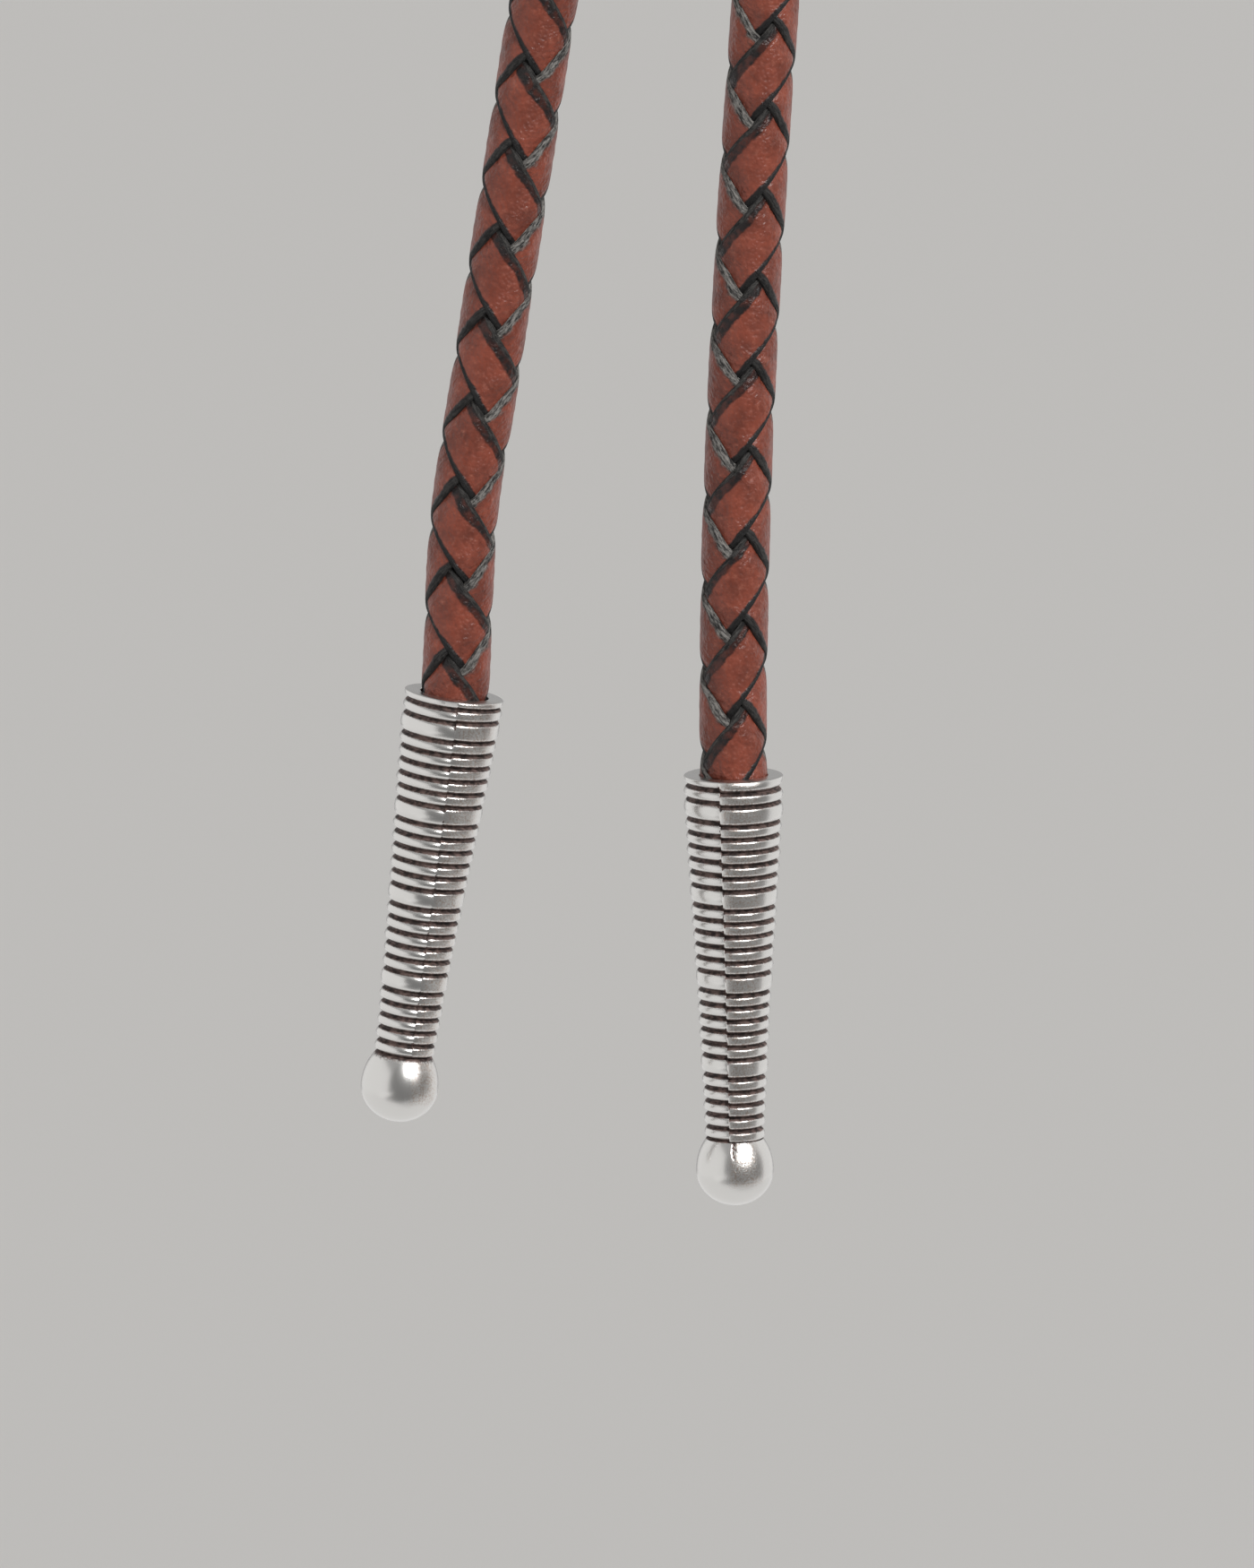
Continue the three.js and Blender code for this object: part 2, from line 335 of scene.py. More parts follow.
    # the straight braid is laid along the route
    place = add("ShaderNodeSeparateXYZ", {0: turned})
    onRoute = add("GeometryNodeSampleCurve", {"Curves": route}, mode="LENGTH")
    tree.links.new(place.outputs[2], onRoute.inputs["Length"])
    normal, tangent = onRoute.outputs["Normal"], onRoute.outputs["Tangent"]
    binormal = add(vectorNode, {0: tangent, 1: normal}, operation="CROSS_PRODUCT")
    moveNormal = add(vectorNode, {0: normal, "Scale": place.outputs[0]}, operation="SCALE")
    moveBinormal = add(vectorNode, {0: binormal, "Scale": place.outputs[1]}, operation="SCALE")
    offRoute = add(vectorNode, {0: moveNormal, 1: moveBinormal}, operation="ADD")
    laid = add(vectorNode, {0: onRoute.outputs["Position"], 1: offRoute}, operation="ADD")

    # what the leather's nodes read: edge to edge, metres along, flesh side to grain side
    edge = add(mathNode, {0: section["across"], 1: hand}, operation="MULTIPLY")
    lacePlace = add("ShaderNodeCombineXYZ", {0: edge, 1: along, 2: section["height"]})
    marked = add("GeometryNodeStoreNamedAttribute",
                 {"Geometry": sheets, "Name": "lacePlace"}, data_type="FLOAT_VECTOR")
    vectorIn = next(s for s in marked.inputs if s.type == "VECTOR" and s.enabled)
    tree.links.new(lacePlace.outputs[0], vectorIn)
    risen = add("GeometryNodeStoreNamedAttribute",
                {"Geometry": marked, "Name": "laceRise", "Value": rise})
    # painted light: laces of that hand get a grey painted highlight on their edges and keep little edge
    # paint
    paintedLightHand = add(mathNode, {0: hand, 1: size["Painted Light Hand"]}, operation="MULTIPLY")
    paintedLightLaces = add("GeometryNodeStoreNamedAttribute",
               {"Geometry": risen, "Name": "laceWear", "Value": paintedLightHand})
    moved = add("GeometryNodeSetPosition", {"Geometry": paintedLightLaces, "Position": laid})
    welded = add("GeometryNodeMergeByDistance", {"Geometry": moved, "Distance": 1e-6})
    smooth = add("GeometryNodeSetShadeSmooth", {"Geometry": welded})
    whole = add("GeometryNodeRealizeInstances", {"Geometry": smooth})
    dressed = add("GeometryNodeSetMaterial", {"Geometry": whole, "Material": size["Material"]})
    add("NodeGroupOutput", {0: dressed})
    return tree


def makeBraid(name, points, settings, tree, material):
    mesh = bpy.data.meshes.new(name + "_route")
    mesh.from_pydata(points.tolist(), [(i, i + 1) for i in range(len(points) - 1)], [])
    guide = newObject(name + "_route", mesh)
    modifier = guide.modifiers.new("braid", "NODES")
    modifier.node_group = tree
    values = {**braid, **settings, "Material": material}
    for item in tree.interface.items_tree:
        if item.in_out == "INPUT" and item.name in values:
            modifier[item.identifier] = values[item.name]
    graph = bpy.context.evaluated_depsgraph_get()
    done = bpy.data.meshes.new_from_object(guide.evaluated_get(graph))
    done.name = name
    bpy.data.objects.remove(guide)
    piece = newObject(name, done)
    print(name, len(done.polygons), "faces")
    return piece


def makeMaterial(name):
    material = bpy.data.materials.new(name)
    material.use_nodes = True
    material.node_tree.nodes.clear()
    return material, partial(addNode, material.node_tree)


# Cowhide lace: drum dyed red-brown with a fine pebbled grain and a soft finish, slit into
# strips whose edges are skived and then painted black by hand. The eye gets a satin
# red-brown face, a ragged black band on one border, and matt, fibrous, charcoal edges;
# the grey on their upper side is a painted highlight, where the light catches them.
leather = {
    "deepBrown": "#562a20",
    "warmBrown": "#7a3c2d",
    "wornBrown": "#966050",
    "edgePaint": "#150f0f",
    "cutDark": "#0d0c0c",
    # painted highlight: the grey that the dark edges take where the light catches them
    "cutPaintedHighlight": "#7b7874",
    "flesh": "#3a2620",
    "pebble": 0.30 * mm,
    "pebbleDepth": 0.075 * mm,
    "crease": 0.42 * mm,
    "creaseDepth": 0.22 * mm,
    "fibre": 0.16 * mm,
    "fibreDepth": 0.15 * mm,
    "mottle": 2.4 * mm,
    "stroke": 5.5 * mm,  # how slowly the painted band's width comes and goes
    "ragged": 0.9 * mm,
    "bandFrom": 0.55,  # where the painted band starts, from 0 mid lace to 1 at its edge
    "roughness": 0.38,
}


def makeLeather(settings):
    material, add = makeMaterial("edge_painted_cowhide")
    smooth = {"interpolation_type": "SMOOTHSTEP"}
    colour = {key: linear(value) for key, value in settings.items() if str(value)[0] == "#"}
    often = {key: 1 / settings[key] for key in ("pebble", "crease", "fibre", "mottle", "stroke", "ragged")}
    where = add("ShaderNodeTexCoord").outputs["Object"]
    place = add("ShaderNodeAttribute", attribute_name="lacePlace").outputs["Vector"]
    rise = add("ShaderNodeAttribute", attribute_name="laceRise").outputs["Fac"]
    # painted light: this marks the laces, of one hand, whose edges get a painted highlight
    paintedLightHand = add("ShaderNodeAttribute", attribute_name="laceWear").outputs["Fac"]
    edge, along, height = add("ShaderNodeSeparateXYZ", {0: place}).outputs
    paintedLightLaces = add(rangeNode, {0: paintedLightHand, 1: -1.0, 2: 1.0})

    # the dyed grain: slow mottling, a finer cloud, and rubbed lighter patches
    slow = add(noiseNode, {"Vector": where, "Scale": often["mottle"], "Detail": 3.0})
    fine = add(noiseNode, {"Vector": where, "Scale": 5 * often["mottle"], "Detail": 2.0})
    rubbed = add(noiseNode, {"Vector": where, "Scale": 4 * often["mottle"], "Detail": 4.0,
                             "Roughness": 0.7})
    mottle = add(rangeNode, {0: slow, 1: 0.25, 2: 0.75}, **smooth)
    cloud = add(rangeNode, {0: fine, 1: 0.30, 2: 0.72, 4: 0.35}, **smooth)
    patches = add(rangeNode, {0: rubbed, 1: 0.52, 2: 0.80, 4: 0.5}, **smooth)
    dyed = add(mixNode, {0: mottle, 6: colour["deepBrown"], 7: colour["warmBrown"]}, data_type="RGBA")
    clouded = add(mixNode, {0: cloud, 6: dyed, 7: colour["warmBrown"]}, data_type="RGBA")
    grained = add(mixNode, {0: patches, 6: clouded, 7: colour["wornBrown"]}, data_type="RGBA")

    # painted shade: pebbles are darker in the creases between them
    pebbles = add("ShaderNodeTexVoronoi", {"Vector": where, "Scale": often["pebble"]},
                  feature="SMOOTH_F1")
    between = add(rangeNode, {0: pebbles, 1: 0.35, 2: 0.85, 4: 0.45}, **smooth)
    pebbled = add(mixNode, {0: between, 6: grained, 7: colour["deepBrown"]}, data_type="RGBA")

    # brush strokes of edge paint, ragged where they end on the grain
    acrossStroke = add(mathNode, {0: edge, 1: 1.6 * mm}, operation="MULTIPLY")
    strokeAt = add("ShaderNodeCombineXYZ", {0: along, 1: acrossStroke})
    ragged = add(noiseNode, {"Vector": strokeAt, "Scale": often["ragged"], "Detail": 4.0, "Roughness": 0.6})
    alongOnly = add("ShaderNodeCombineXYZ", {0: along, 1: paintedLightHand})
    stroke = add(noiseNode, {"Vector": alongOnly, "Scale": often["stroke"], "Detail": 1.0})
    shaken = add(mathNode, {0: ragged, 1: 0.30, 2: edge}, operation="MULTIPLY_ADD")
    wandering = add(mathNode, {0: stroke, 1: 0.45, 2: shaken}, operation="MULTIPLY_ADD")
    band = add(rangeNode, {0: wandering, 1: settings["bandFrom"] + 0.33, 2: settings["bandFrom"] + 0.42},
               **smooth)
    wiped = add(noiseNode, {"Vector": where, "Scale": often["ragged"], "Detail": 3.0})
    thin = add(rangeNode, {0: wiped, 1: 0.34, 2: 0.62, 3: 0.72, 4: 1.0}, **smooth)
    # the laces with the painted highlight keep little of the edge paint band
    kept = add(rangeNode, {0: paintedLightHand, 1: -1.0, 2: 1.0, 3: 1.0, 4: 0.12})
    keptBand = add(mathNode, {0: band, 1: kept}, operation="MULTIPLY")
    thinBand = add(mathNode, {0: keptBand, 1: thin}, operation="MULTIPLY")
    otherEdge = add(mathNode, {0: edge, 1: -1.0}, operation="MULTIPLY")
    otherShaken = add(mathNode, {0: ragged, 1: 0.22, 2: otherEdge}, operation="MULTIPLY_ADD")
    line = add(rangeNode, {0: otherShaken, 1: 0.82, 2: 0.90}, **smooth)
    painted = add(mathNode, {0: thinBand, 1: line}, operation="MAXIMUM")

    # skived edges: packed fibres that run along the lace, with a painted highlight in grey on
    # the upper edge, strongest on the laces that pass over at the sides
    fibreAlong = add(mathNode, {0: along, 1: 0.28}, operation="MULTIPLY")
    fibreUp = add(mathNode, {0: height, 1: 0.5 * mm}, operation="MULTIPLY")
    fibreAcross = add(mathNode, {0: edge, 1: 2.0 * mm}, operation="MULTIPLY")
    fibreAt = add("ShaderNodeCombineXYZ", {0: fibreAlong, 1: fibreUp, 2: fibreAcross})
    fibres = add(noiseNode, {"Vector": fibreAt, "Scale": often["fibre"], "Detail": 4.0, "Roughness": 0.7})
    fibreStreaks = add(rangeNode, {0: fibres, 1: 0.36, 2: 0.66}, **smooth)
    # painted highlight: the upper edge of each lace is lighter, as if lit from above, and more so on the
    # laces that pass over at the sides
    upper = add(rangeNode, {0: edge, 1: -0.3, 2: 0.3, 3: 0.15, 4: 1.0}, **smooth)
    paintedLightUpper = add(mathNode, {0: paintedLightLaces, 1: 0.75, 2: 0.2}, operation="MULTIPLY_ADD")
    greyShare = add(mathNode, {0: upper, 1: paintedLightUpper}, operation="MULTIPLY")
    grey = add(mathNode, {0: fibreStreaks, 1: greyShare}, operation="MULTIPLY")
    cut = add(mixNode, {0: grey, 6: colour["cutDark"], 7: colour["cutPaintedHighlight"]}, data_type="RGBA")
    face = add(mixNode, {0: painted, 6: pebbled, 7: colour["edgePaint"]}, data_type="RGBA")
    level = add(mathNode, {0: height}, operation="ABSOLUTE")
    paintedLightWider = add(mathNode, {0: upper, 1: paintedLightLaces}, operation="MULTIPLY")  # the painted highlight reaches further onto these laces' faces
    wideLevel = add(mathNode, {0: paintedLightWider, 1: -0.05, 2: level}, operation="MULTIPLY_ADD")
    shakenLevel = add(mathNode, {0: ragged, 1: -0.20, 2: wideLevel}, operation="MULTIPLY_ADD")
    onFace = add(rangeNode, {0: shakenLevel, 1: 0.76, 2: 0.82}, **smooth)
    grainSide = add(rangeNode, {0: height, 1: -0.4, 2: 0.0}, **smooth)
    surface = add(mixNode, {0: grainSide, 6: colour["flesh"], 7: face}, data_type="RGBA")
    skin = add(mixNode, {0: onFace, 6: cut, 7: surface}, data_type="RGBA")

    # pebbled grain, then creases where the lace bends over its neighbours, then fibres
    pebbleBump = add(bumpNode, {"Height": pebbles, "Strength": 1.0, "Distance": settings["pebbleDepth"]},
                     invert=True)
    creaseAcross = add(mathNode, {0: edge, 1: 1.5 * mm}, operation="MULTIPLY")
    creaseAt = add("ShaderNodeCombineXYZ", {0: along, 1: creaseAcross})
    creases = add(noiseNode, {"Vector": creaseAt, "Scale": often["crease"], "Detail": 3.0})
    diving = add(rangeNode, {0: rise, 1: 0.30, 2: 0.90, 3: 1.0, 4: 0.25}, **smooth)
    creased = add(mathNode, {0: creases, 1: diving}, operation="MULTIPLY")
    creaseBump = add(bumpNode, {"Height": creased, "Strength": 1.0, "Distance": settings["creaseDepth"],
                                "Normal": pebbleBump})
    offFace = add(mathNode, {0: 1.0, 1: onFace}, operation="SUBTRACT")
    rough = add(mathNode, {0: painted, 1: 0.4, 2: offFace}, operation="MULTIPLY_ADD")
    frayed = add(mathNode, {0: fibres, 1: rough}, operation="MULTIPLY")
    fibreBump = add(bumpNode, {"Height": frayed, "Strength": 1.0, "Distance": settings["fibreDepth"],
                               "Normal": creaseBump})
    finish = add(rangeNode, {0: wiped, 1: 0.3, 2: 0.7, 3: settings["roughness"] - 0.06,
                             4: settings["roughness"] + 0.08}, **smooth)
    roughness = add(mathNode, {0: offFace, 1: 0.34, 2: finish}, operation="MULTIPLY_ADD")
    shader = add("ShaderNodeBsdfPrincipled", {
        "Base Color": skin, "Roughness": roughness, "Normal": fibreBump, "IOR": 1.5,
        "Specular IOR Level": 0.30,
    })
    add("ShaderNodeOutputMaterial", {0: shader})
    return material


# Silver plated zinc, die cast in two halves, blackened and then tumbled bright again. The
# eye gets smooth satin silver on the crests, brown-black tarnish left in every hollow, and
# a brown-grey speckle on the half whose cast skin stayed coarse under the plating.
antiqueSilver = {
    "bright": "#d0cecb",
    "coarse": "#b8aaa0",
    "tarnish": "#2e2523",
    "tarnishBrown": "#7a655f",
    "grain": 0.15 * mm,
    "grainDepth": 0.03 * mm,
    "lump": 0.9 * mm,
    "lumpDepth": 0.005 * mm,
    "stain": 0.5 * mm,
    "roughness": 0.27,
}


def makeSilver(settings):
    material, add = makeMaterial("oxidised_silver_plate")
    smooth = {"interpolation_type": "SMOOTHSTEP"}
    colour = {key: linear(value) for key, value in settings.items() if str(value)[0] == "#"}
    often = {key: 1 / settings[key] for key in ("grain", "lump", "stain")}
    where = add("ShaderNodeTexCoord").outputs["Object"]
    hollow = add("ShaderNodeAttribute", attribute_name="hollow").outputs["Fac"]
    coarse = add("ShaderNodeAttribute", attribute_name="coarse").outputs["Fac"]

    # coarse skin: brown is left between its grains
    grain = add(noiseNode, {"Vector": where, "Scale": often["grain"], "Detail": 3.0, "Roughness": 0.6})
    speckle = add(rangeNode, {0: grain, 1: 0.42, 2: 0.66}, **smooth)
    speckled = add(mathNode, {0: speckle, 1: coarse}, operation="MULTIPLY")
    metal = add(mixNode, {0: speckled, 6: colour["bright"], 7: colour["coarse"]}, data_type="RGBA")

    # tarnish in the hollows, browner in places
    stains = add(noiseNode, {"Vector": where, "Scale": often["stain"], "Detail": 3.0})
    brownShare = add(rangeNode, {0: stains, 1: 0.35, 2: 0.7, 4: 0.8}, **smooth)
    tarnish = add(mixNode, {0: brownShare, 6: colour["tarnish"], 7: colour["tarnishBrown"]},
                  data_type="RGBA")
    ragged = add(mathNode, {0: grain, 1: 0.35, 2: hollow}, operation="MULTIPLY_ADD")
    dark = add(rangeNode, {0: ragged, 1: 0.47, 2: 0.65}, **smooth)
    finish = add(mixNode, {0: dark, 6: metal, 7: tarnish}, data_type="RGBA")
    coarser = add(mathNode, {0: coarse, 1: 0.04, 2: settings["roughness"]}, operation="MULTIPLY_ADD")
    roughness = add(mathNode, {0: dark, 1: 0.34, 2: coarser}, operation="MULTIPLY_ADD")
    metallic = add(rangeNode, {0: dark, 3: 1.0, 4: 0.35})

    grainHeight = add(mathNode, {0: coarse, 1: 0.85, 2: 0.15}, operation="MULTIPLY_ADD")
    grains = add(mathNode, {0: grain, 1: grainHeight}, operation="MULTIPLY")
    grainBump = add(bumpNode, {"Height": grains, "Strength": 1.0, "Distance": settings["grainDepth"]})
    lumps = add(noiseNode, {"Vector": where, "Scale": often["lump"], "Detail": 2.0})
    lumpBump = add(bumpNode, {"Height": lumps, "Strength": 1.0, "Distance": settings["lumpDepth"],
                              "Normal": grainBump})
    shader = add("ShaderNodeBsdfPrincipled", {
        "Base Color": finish, "Roughness": roughness, "Metallic": metallic, "Normal": lumpBump,
    })
    add("ShaderNodeOutputMaterial", {0: shader})
    return material


def makeFloorPaint():
    material, add = makeMaterial("matt_pale_paint")
    shader = add("ShaderNodeBsdfPrincipled", {"Base Color": linear("#d6d4d1"), "Roughness": 0.85})
    add("ShaderNodeOutputMaterial", {0: shader})
    return material


cowhide = makeLeather(leather)
silver = makeSilver(antiqueSilver)

braidTree = makeBraidTree()
routes = {"neck_cord": neckLoop, "cord_end_left": leftEnd, "cord_end_right": rightEnd}
cords = {
    name: makeBraid(name, routes[name], settings, braidTree, cowhide)
    for name, settings in braidPieces.items()
}


# Tip: a rim, one narrow ring, then groups of one wide ring and five narrow ones, and an egg
# shaped ball. The two cast halves don't quite meet, so the rings step at each seam. Lengths
# in mm, and turns in degrees from the front seam, the right half first.
tipShape = {
    "rim": 0.8, "narrow": 1.195, "wide": 1.785, "groups": 4, "narrowPerGroup": 5,
    "grooveDepth": 0.45,
    "crestDrop": 0.74,  # how far a crest would fall over its rounded edge
    "roundEdge": 0.70,
    "squareEdge": 0.40,  # the same where the crests came out flatter, right of a seam
    "boreRadius": 3.07, "boreDepth": 7,
    "taperDepths": (0, 3, 11, 19, 27, 33),
    "taperDiameters": (8.95, 8.95, 7.9, 6.85, 5.95, 5.43),
    "ballRadius": 3.51, "ballShoulder": 4.25, "ballWidestAt": 2.95, "ballHeight": 6.2,
    "ballSteps": 44, "ballSpread": 1.25,  # over 1 puts the ball's rows closer at its top
    "neckStain": 0.16, "ballStain": 1.1,  # how far tarnish creeps down the ball, full and thin
    "unevenness": 0.022,
    "squareTurns": (55, 105),  # from here to there the flatter crests turn round again
    "nickDepth": 0.008, "nickWidth": 1.3,  # the seam's fine line: mm, and degrees
    "pitDepth": 0.12, "pitEdge": 1.6,  # the edge is where a pit ends, in its own radii
    "coarseTurns": (0, 8, 40, 62),  # where the coarse skin starts, is full, fades and ends
    "coarseBall": (3.7, 4.1),  # how far down the ball it fades and ends
}
rimOutline = (  # up the bore and over the top: depth, and how far out from the bore or the crest
    (3, "bore", 0), (0.5, "bore", 0), (0.14, "bore", 0), (0.05, "bore", 0.03), (0.01, "bore", 0.09),
    (0, "bore", 0.2), (0, "crest", -0.35), (0.015, "crest", -0.17), (0.06, "crest", -0.06),
    (0.13, "crest", 0),
)
ringSteps = (0, 0.035, 0.07, 0.11, 0.16, 0.22, 0.29, 0.37, 0.46)  # mm from a groove's middle


def ringHeights(shape):
    group = [shape["wide"], *[shape["narrow"]] * shape["narrowPerGroup"]]
    return [shape["rim"], shape["narrow"], *group * shape["groups"]]


def crestFall(shape, fromGroove, edge):
    # how far below its crest a ring is, so far from the middle of its groove
    reach = max(0.0, 1 - fromGroove / edge)
    return min(shape["crestDrop"] * (1 - math.sqrt(1 - reach * reach)), shape["grooveDepth"])


def tipRows(shape):
    # each row: depth, radius on the left and the right half, how hollow, how much of the
    # seam's step it takes, and the number of its ring
    measuredFrom = {"bore": shape["boreRadius"], "crest": shape["taperDiameters"][0] / 2}
    rows = [(shape["boreDepth"], shape["boreRadius"], shape["boreRadius"], 1.0, 0.0, 0)]
    for depth, where, out in rimOutline:
        radius = measuredFrom[where] + out
        rows.append((depth, radius, radius, 0.9 if depth > 0.2 else 0.0, 0.0, 0))
    start = 0.0
    heights = ringHeights(shape)
    for number, height in enumerate(heights):
        middle = height / 2
        steps = [step for step in ringSteps if step < middle] + [middle]
        if number == 0:
            marks = [height - step for step in reversed(steps) if height - step > 0.2]
        else:
            marks = steps[1:] + [height - step for step in reversed(steps[:-1])]
        for mark in marks:
            fromGroove = min(mark, height - mark) if number else height - mark
            crestRadius = np.interp(start + mark, shape["taperDepths"], shape["taperDiameters"]) / 2
            falls = [crestFall(shape, fromGroove, shape[edge]) for edge in ("roundEdge", "squareEdge")]
            hollow = min(1.0, falls[0] / shape["grooveDepth"])
            share = min(1.0, (start + mark) / shape["rim"])
            rows.append((start + mark, crestRadius - falls[0], crestRadius - falls[1],
                         hollow, share, number))
        start += height
    neck = start
    widest = neck + shape["ballWidestAt"]
    lower = shape["ballHeight"] - shape["ballWidestAt"]
    first = -math.asin(min(1.0, shape["ballWidestAt"] / shape["ballShoulder"]))
    for i in range(1, shape["ballSteps"]):
        angle = first + (math.pi / 2 - first) * (i / shape["ballSteps"]) ** shape["ballSpread"]
        reach = shape["ballShoulder"] if angle < 0 else lower
        depth = widest + reach * math.sin(angle)
        radius = shape["ballRadius"] * math.cos(angle)
        stain = max(0.0, 1 - (depth - neck) / shape["neckStain"])
        rows.append((depth, radius, radius, stain, 0.0, len(heights)))
    return rows, neck, widest + lower


def makeTip(name, tip, material):
    shape = tipShape
    rng = np.random.default_rng(tip["seed"])
    rows, neck, end = tipRows(shape)
    half = [0.4, 1.2, *np.linspace(3, 19.5, 12), *np.linspace(23, 175.5, 46), 178.8, 179.6]
    turns = np.array([*half, *[angle + 180 for angle in half]])  # from the front seam
    onRight = turns < 180
    squareness = onRight * np.interp(turns, shape["squareTurns"], (1, 0))
    fromSeam = np.minimum(np.minimum(turns, 360 - turns), np.abs(turns - 180))
    seamLine = np.exp(-(fromSeam / shape["nickWidth"]) ** 2)
    coarseTurns = onRight * np.interp(turns, shape["coarseTurns"], (0, 1, 1, 0))
    count = len(turns)
    waves = rng.uniform(0, 2 * math.pi, (40, 4))
    verts, hollows, coarse = [], [], []
    for depth, leftRadius, rightRadius, hollow, share, number in rows:
        seamTurn = np.interp(depth, (0, neck), tip["seamTurns"])
        step = np.interp(depth, (0, neck), tip["seamSteps"]) * share
        angle = np.radians(turns + seamTurn)
        uneven = sum(np.sin((k + 2) * angle + waves[number, k]) / (k + 1) for k in range(4))
        uneven = uneven * shape["unevenness"] * (1 - hollow) * (share > 0)
        radius = leftRadius + squareness * (rightRadius - leftRadius) + uneven - shape["unevenness"]
        nick = seamLine * (share > 0)
        radius = radius - shape["nickDepth"] * nick
        down = depth + step * onRight + 0.5 * uneven
        dent = np.zeros(count)
        for pitTurn, pitDepth, pitRadius in tip["pits"]:
            sideways = np.radians((turns - pitTurn + 180) % 360 - 180) * leftRadius
            away = np.hypot(sideways, depth - neck - pitDepth) / pitRadius
            dent = np.maximum(dent, np.clip(shape["pitEdge"] - away, 0, 1))
        radius = radius - shape["pitDepth"] * dent
        verts.append(np.stack([radius * np.sin(angle), -radius * np.cos(angle), -down], axis=1))
        stain = tip["stain"] * max(0.0, 1 - (depth - neck) / shape["ballStain"]) * (depth > neck)
        specks = 0.5 * nick * (rng.random() < tip["specks"])
        coarse.append(coarseTurns * np.interp(depth - neck, shape["coarseBall"], (1, 0)))
        hollows.append(np.clip(np.maximum(hollow, stain) + 0.1 * nick + specks + 0.9 * dent, 0, 1))
    verts = np.concatenate(verts)
    hollows = np.concatenate(hollows)
    faces = []
    for row in range(len(rows) - 1):
        for column in range(count):
            after = (column + 1) % count
            a, b = row * count + column, row * count + after
            faces.append((a, a + count, b + count, b))
    poles = [(0, 0, -shape["boreDepth"]), (0, 0, -end)]
    top, bottom = len(verts), len(verts) + 1
    last = (len(rows) - 1) * count
    for column in range(count):
        after = (column + 1) % count
        faces.append((top, column, after))
        faces.append((bottom, last + after, last + column))
    verts = np.concatenate([verts, poles])
    hollows = np.concatenate([hollows, [1.0, 0.0]])
    coarse = np.concatenate([*coarse, [0.0, 0.0]])
    lean = Matrix.Rotation(math.radians(tip["lean"]), 3, "Y")
    placed = (verts * mm) @ np.array(lean).T + np.array(tip["rim"])
    mesh = bpy.data.meshes.new(name)
    mesh.from_pydata(placed.tolist(), [], faces)
    mesh.attributes.new("hollow", "FLOAT", "POINT").data.foreach_set("value", hollows)
    mesh.attributes.new("coarse", "FLOAT", "POINT").data.foreach_set("value", coarse)
    mesh.shade_smooth()
    mesh.set_sharp_from_angle(angle=math.radians(60))
    mesh.materials.append(material)
    print(name, len(mesh.polygons), "faces")
    return newObject(name, mesh)


# at the rim and at the ball: how far the front seam turns right, and how much lower the right
# half's rings sit; then each pit's turn from the seam, depth below the neck and radius
leftTip.update(seed=5, seamTurns=(5.4, 14.6), seamSteps=(-0.13, -0.05), stain=0.5, specks=0.08, pits=())
rightTip.update(seed=8, seamTurns=(-17, -11), seamSteps=(0.29, 0.20), stain=0.12, specks=0.3, pits=(
    (9, 0.18, 0.12), (7, 0.48, 0.10), (11, 0.62, 0.09), (7, 0.88, 0.10), (9, 1.25, 0.12),
))
tips = {
    "fine_tip_left": makeTip("fine_tip_left", leftTip, silver),
    "fine_tip_right": makeTip("fine_tip_right", rightTip, silver),
}


# Slide: a plain cast plate with a slightly crowned face inside a sunk line, and a channel
# for each run of cord.
slidePlate = {
    "corner": 7 * mm, "cornerSteps": 14, "rounding": 1.1 * mm, "roundingSteps": 6,
    "crown": 0.35 * mm, "crownSteps": (0.97, 0.85, 0.7, 0.5, 0.3, 0.12),
    "channelRadius": 3.45 * mm,
    "lineInset": 2.3 * mm,  # a sunk line runs round the face, dark with tarnish
    "lineDepth": 0.28,
    "line": (  # mm across and down
        (0, 0), (0.06, 0.04), (0.14, 0.20), (0.28, 0.28), (0.42, 0.28), (0.56, 0.20), (0.64, 0.04),
        (0.70, 0),
    ),
}


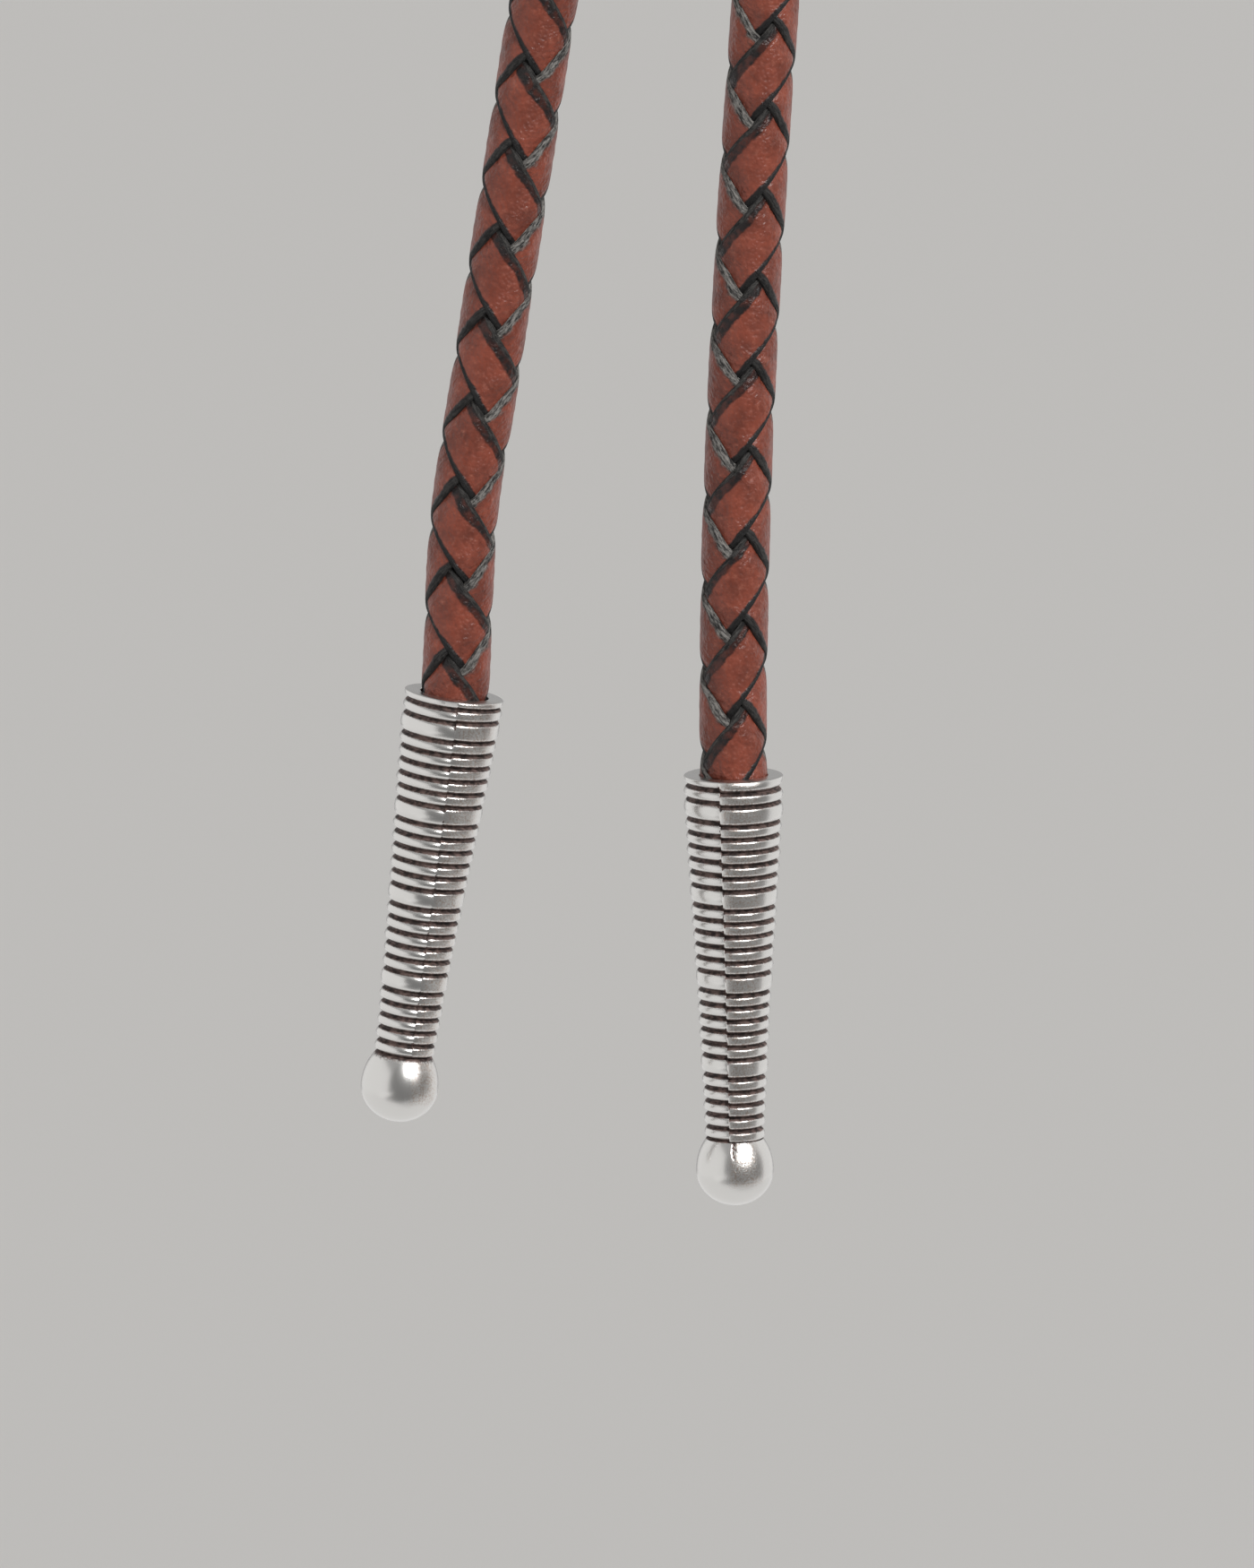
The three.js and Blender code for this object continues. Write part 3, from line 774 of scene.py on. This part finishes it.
def makeSlide(name, shape, material):
    low, high = (Vector(corner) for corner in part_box("slide"))
    middle, size = (low + high) / 2, high - low
    outline = []
    for quarter, (signX, signZ) in enumerate(((1, 1), (-1, 1), (-1, -1), (1, -1))):
        for i in range(shape["cornerSteps"] + 1):
            angle = math.pi / 2 * (quarter + i / shape["cornerSteps"])
            outline.append((signX * (size.x / 2 - shape["corner"]), signZ * (size.z / 2 - shape["corner"]),
                            math.cos(angle), math.sin(angle)))
    rings = []  # inset from the outline, shrink towards the middle, distance along Y, hollow
    for side in (1, -1):
        steps = [math.pi / 2 * i / shape["roundingSteps"] for i in range(shape["roundingSteps"] + 1)]
        crown = shape["crown"] if side < 0 else 0.0
        edge = size.y / 2 - crown
        rows = [(shape["rounding"] * (1 - math.cos(a)), 1.0,
                 side * (edge - shape["rounding"] * (1 - math.sin(a))), 0.0) for a in steps]
        if side < 0:
            rows += [(shape["lineInset"] + across * mm, 1.0, side * (edge - down * mm),
                      down / shape["lineDepth"]) for across, down in shape["line"]]
        inset = rows[-1][0]
        rows += [(inset, shrink, side * (edge + crown * (1 - shrink ** 2)), 0.0)
                 for shrink in shape["crownSteps"]]
        rings.append(rows)
    order = rings[0][::-1] + rings[1]
    count = len(outline)
    mesh = bmesh.new()
    hollow = mesh.verts.layers.float.new("hollow")
    loops = []
    for inset, shrink, y, depth in order:
        reach = shape["corner"] - inset
        loop = [mesh.verts.new((middle.x + (x + reach * c) * shrink, middle.y + y,
                                middle.z + (z + reach * s) * shrink)) for x, z, c, s in outline]
        for vert in loop:
            vert[hollow] = depth
        loops.append(loop)
    for first, second in zip(loops, loops[1:]):
        for i in range(count):
            j = (i + 1) % count
            mesh.faces.new((first[i], first[j], second[j], second[i]))
    mesh.faces.new(loops[0][::-1])
    mesh.faces.new(loops[-1])
    bmesh.ops.recalc_face_normals(mesh, faces=mesh.faces)
    plate = bpy.data.meshes.new(name)
    mesh.to_mesh(plate)
    mesh.free()
    cutters = bmesh.new()
    for side in (-1, 1):
        bmesh.ops.create_cone(
            cutters, cap_ends=True, segments=64, radius1=shape["channelRadius"],
            radius2=shape["channelRadius"], depth=2 * size.z,
            matrix=Matrix.Translation((side * slideMouths["x"], middle.y, middle.z)),
        )
    cutterMesh = bpy.data.meshes.new("channel_cutters")
    cutters.to_mesh(cutterMesh)
    cutters.free()
    body, cutter = newObject(name, plate), newObject("channel_cutters", cutterMesh)
    channels = body.modifiers.new("channels", "BOOLEAN")
    channels.operation, channels.solver, channels.object = "DIFFERENCE", "EXACT", cutter
    graph = bpy.context.evaluated_depsgraph_get()
    done = bpy.data.meshes.new_from_object(body.evaluated_get(graph))
    body.modifiers.clear()
    body.data = done
    bpy.data.objects.remove(cutter)
    done.shade_smooth()
    done.set_sharp_from_angle(angle=math.radians(35))
    done.materials.clear()
    done.materials.append(material)
    print(name, len(done.polygons), "faces")
    return body


plainSlide = makeSlide("fine_slide", slidePlate, silver)


# Stage and light: a wide pale floor below the hanging ends, a soft panel on each side and
# below, an opening in front that is dim, so that the metal has something dark to show, and
# one small lamp high in the opening. Watts over area are about the same on each panel.
# Places and sizes in metres.
floorDrop = 0.45  # from the lowest point of the tips
floorHalf = 9.0
tipsAt = (0, chestY, -0.36)
roomLight = {"opening": 0.24, "round": 0.45, "openingAt": 31}  # degrees right of the front
studio = {
    "left": {"at": (-1.10, -0.12, 0), "aim": (0, -0.12, 0), "size": (3.7, 1.6), "watts": 10.0},
    "right": {"at": (0.95, 0.80, 0), "aim": (0, 0.80, 0), "size": (1.85, 1.6), "watts": 5.0},
    "below": {"at": (-0.05, 0.4, -0.80), "aim": (-0.05, 0.4, 0), "size": (2.1, 1.84), "watts": 5.8},
    "corner": {"at": (-0.80, -1.245, -0.80), "aim": (-0.80, -1.245, 0), "size": (0.6, 1.45), "watts": 1.7},
    "high": {"at": (0.58, -0.92, 0.31), "aim": tipsAt, "size": (0.50, 0.40), "watts": 2.6, "spread": 70},
}
floorLight = {"strength": 1.1, "angle": 60}


def makeFloor():
    height = cadBox[0][2] - floorDrop
    mesh = bpy.data.meshes.new("floor")
    corners = ((-1, -1), (1, -1), (1, 1), (-1, 1))
    mesh.from_pydata([(x * floorHalf, y * floorHalf, height) for x, y in corners], [], [(0, 1, 2, 3)])
    mesh.materials.append(makeFloorPaint())
    floor = newObject("floor", mesh)
    floor.visible_glossy = False  # the silver mirrors the panels, not the floor between them
    return floor


def onlyOn(lamp, receivers):
    group = bpy.data.collections.new(lamp.name + "_receivers")
    for receiver in receivers:
        group.objects.link(receiver)
    lamp.light_linking.receiver_collection = group


def makeLights(pieces, floor):
    # the tent lights the pieces alone, and an even overhead light the floor alone
    for name, row in studio.items():
        light = bpy.data.lights.new(name, "AREA")
        light.shape = "RECTANGLE"
        light.size, light.size_y = row["size"]
        light.energy = row["watts"]
        light.spread = math.radians(row.get("spread", 180))
        lamp = newObject(name, light)
        lamp.location = row["at"]
        lamp.visible_camera = False
        lamp.rotation_euler = (Vector(row["aim"]) - lamp.location).to_track_quat("-Z", "Y").to_euler()
        onlyOn(lamp, pieces)
    overhead = bpy.data.lights.new("overhead", "SUN")
    overhead.energy = floorLight["strength"]
    overhead.angle = math.radians(floorLight["angle"])
    onlyOn(newObject("overhead", overhead), [floor])
    world = bpy.data.worlds.new("studio")
    bpy.context.scene.world = world
    world.use_nodes = True
    world.node_tree.nodes.clear()
    add = partial(addNode, world.node_tree)
    turn = math.radians(roomLight["openingAt"])
    towards = add(vectorNode, {0: add("ShaderNodeTexCoord"), 1: (math.sin(turn), -math.cos(turn), 0)},
                  operation="DOT_PRODUCT").outputs["Value"]
    shade = add(rangeNode, {0: towards, 1: 0.44, 2: 0.54, 3: roomLight["round"], 4: roomLight["opening"]})
    background = add("ShaderNodeBackground", {"Color": shade, "Strength": 1.0})
    add("ShaderNodeOutputWorld", {0: background})


pieces = {**cords, **tips, "fine_slide": plainSlide}
makeLights(pieces.values(), makeFloor())
bpy.context.scene.view_settings.view_transform = "Standard"
print("stage and lights placed")


for name, piece in pieces.items():
    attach(piece, "root")
for name in cords:
    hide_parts("braided_cord")
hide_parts("tip_left")
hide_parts("tip_right")
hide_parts("slide")
